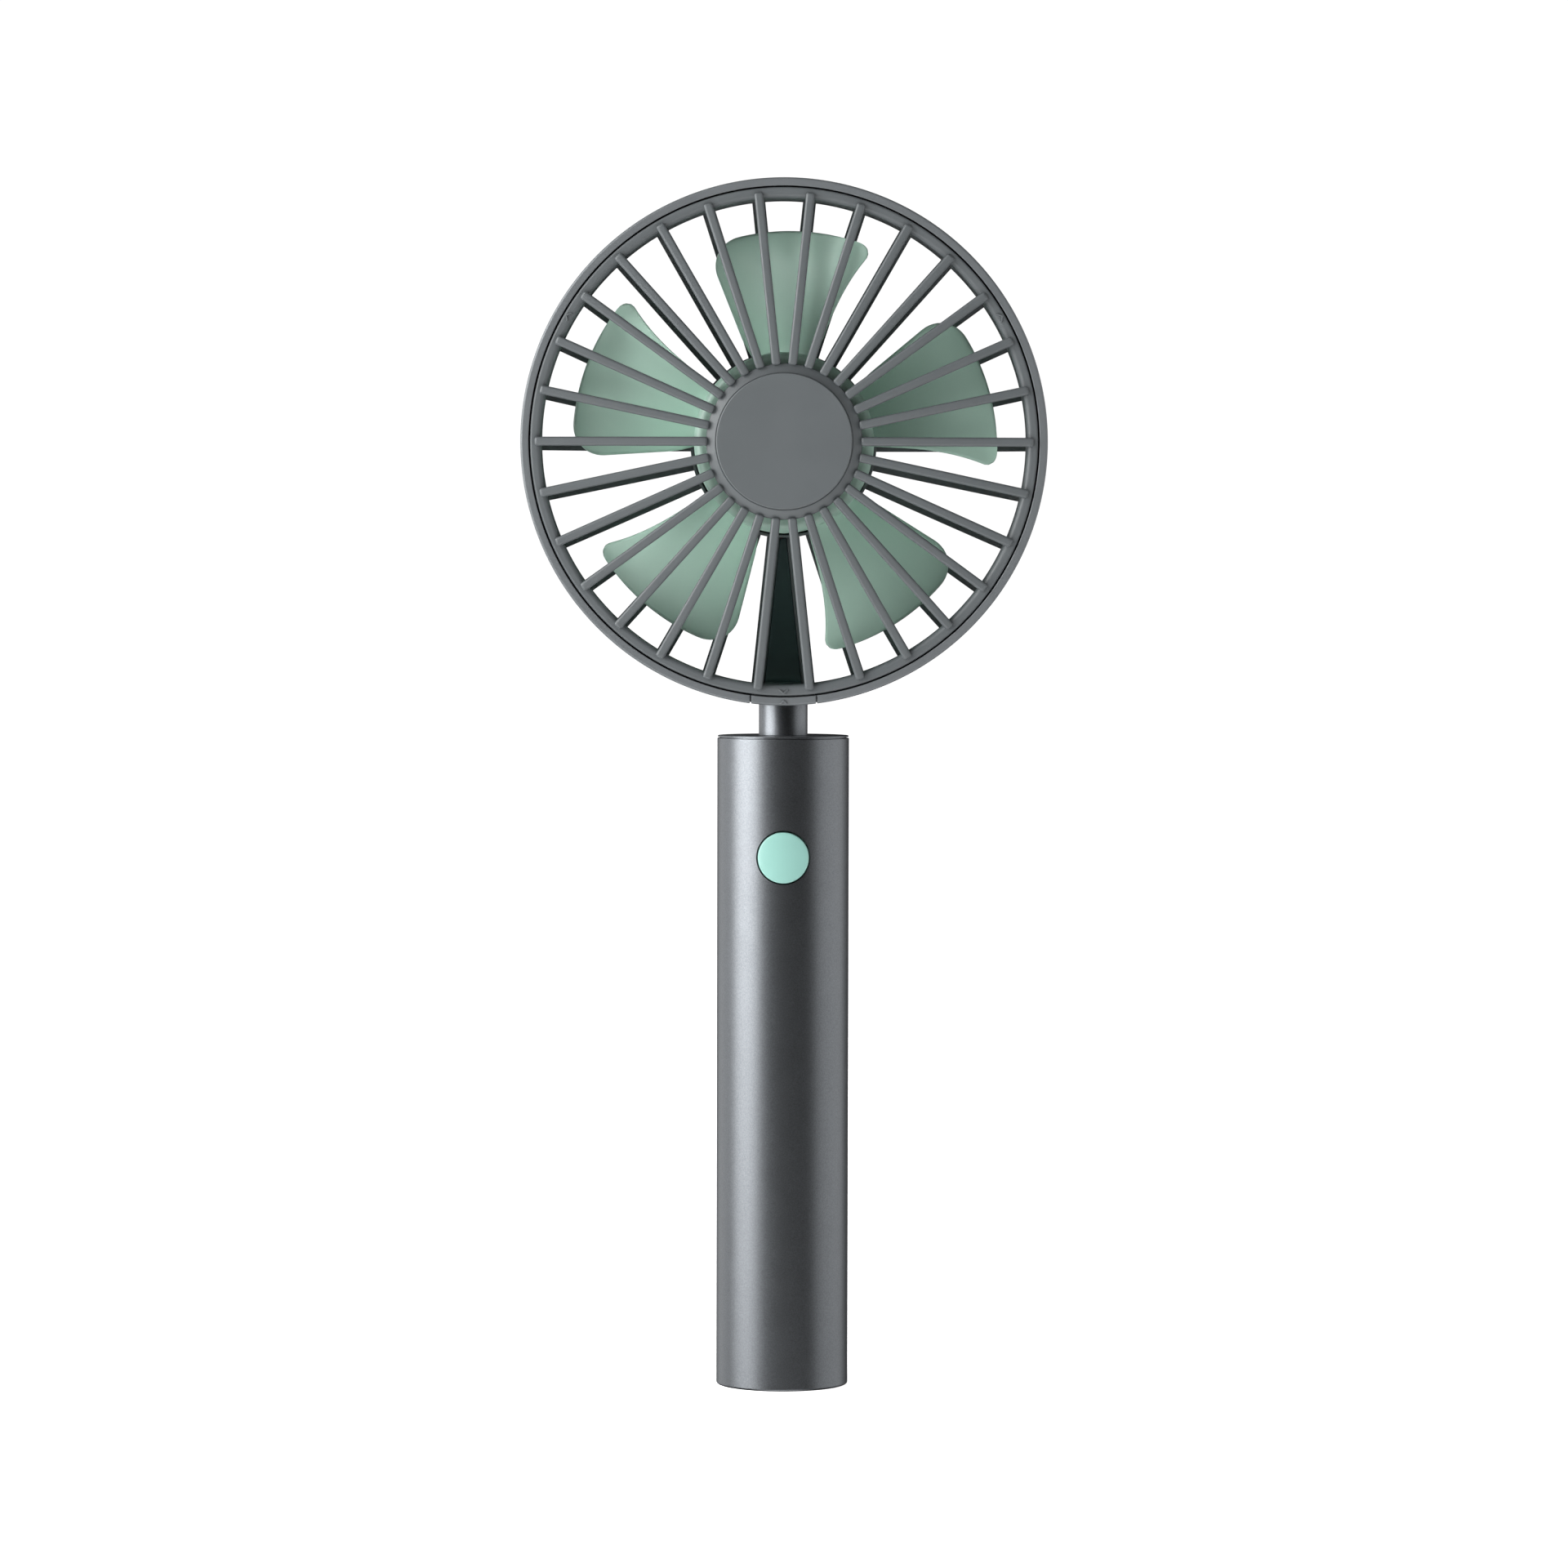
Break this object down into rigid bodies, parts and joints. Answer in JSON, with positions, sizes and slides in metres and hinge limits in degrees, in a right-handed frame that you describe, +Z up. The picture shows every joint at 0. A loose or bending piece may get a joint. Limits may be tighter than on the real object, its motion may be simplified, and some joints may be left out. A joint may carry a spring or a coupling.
{
  "type": "handheld electric fan",
  "caption": "Handheld electric fan: round guarded head on a slim neck, straight tube handle with one button, twist-off front cover and a bladed impeller.",
  "frame": {"origin": "centre of the flat bottom face of the handle", "axes": "+Z up along the handle to the head; the air leaves towards -Y, and the button faces -Y; +X is to the right as seen from the front"},
  "size_m": [0.0992, 0.0331, 0.2285],
  "materials": {
    "anodised_tube": "dark grey anodised over fine bead blasting, satin",
    "grey_plastic": "moulded, fine matte texture",
    "hoop_grey": "matte grey coating",
    "mint_plastic": "moulded, smooth satin",
    "dark_plastic": "moulded, matte",
    "carrier_plastic": "natural moulded plastic",
    "foot_rubber": "matte",
    "foam": "closed-cell foam tape",
    "screw_steel": "zinc plated",
    "shaft_steel": "ground",
    "cell_wrap": "shrink film over a steel can",
    "nickel": "bright strip",
    "circuit_green": "solder mask",
    "chip_black": "moulded package",
    "switch_black": "moulded",
    "light_clear": "frosted clear plastic",
    "wire_red": "silicone",
    "wire_black": "silicone",
    "brass": "turned",
    "bronze": "sintered",
    "stator_steel": "stamped laminations",
    "insulator_green": "moulded",
    "copper": "enamelled winding",
    "ferrite": "bonded magnet",
    "rotor_steel": "drawn and plated"
  },
  "bodies": {
    "fan_body": {"handle_tube": "anodised_tube", "top_cap": "anodised_tube", "bottom_cap": "grey_plastic", "foot_pad": "foot_rubber", "cap_screw": "screw_steel", "inner_carrier": "carrier_plastic", "battery_cell": "cell_wrap", "cell_foam": "foam", "cell_tabs": "nickel", "main_board": "circuit_green", "board_parts": "chip_black", "board_screws": "screw_steel", "tact_switch": "switch_black", "button_guide": "dark_plastic", "charge_board": "circuit_green", "usb_socket": "nickel", "usb_tongue": "chip_black", "charge_led": "light_clear", "light_guide": "light_clear", "battery_lead_red": "wire_red", "battery_lead_black": "wire_black", "charge_lead_red": "wire_red", "charge_lead_black": "wire_black", "neck_tube": "anodised_tube", "neck_nut": "screw_steel", "neck_block": "hoop_grey", "neck_screws": "screw_steel", "head_ring": "hoop_grey", "rear_grille": "grey_plastic", "wire_cover": "dark_plastic", "rear_cap": "grey_plastic", "bearing_tube": "brass", "sleeve_bearing": "bronze", "thrust_pad": "carrier_plastic", "stator_core": "stator_steel", "stator_insulators": "insulator_green", "stator_coils": "copper", "motor_board": "circuit_green", "motor_chips": "chip_black", "motor_lead_red": "wire_red", "motor_lead_black": "wire_black"},
    "button": {"power_button": "mint_plastic", "switch_plunger": "carrier_plastic"},
    "rotor": {"impeller": "mint_plastic", "rotor_cup": "rotor_steel", "magnet_ring": "ferrite", "motor_shaft": "shaft_steel", "shaft_clip": "screw_steel"},
    "front_cover": {"front_grille": "grey_plastic", "hub_cap": "grey_plastic"}
  },
  "joints": [
    {"name": "impeller_spin", "type": "hinge", "parent": "fan_body", "child": "rotor", "pos_m": [0, 0, 0.17895], "axis": [0, -1, 0], "continuous": true},
    {"name": "button_press", "type": "slide", "parent": "fan_body", "child": "button", "axis": [0, 1, 0], "range_m": [0, 0.0004], "stiffness_N_per_m": 900, "springref_m": -0.0006},
    {"name": "cover_twist", "type": "hinge", "parent": "fan_body", "child": "front_cover", "pos_m": [0, 0, 0.17895], "axis": [0, -1, 0], "range_deg": [0, 10]}
  ]
}
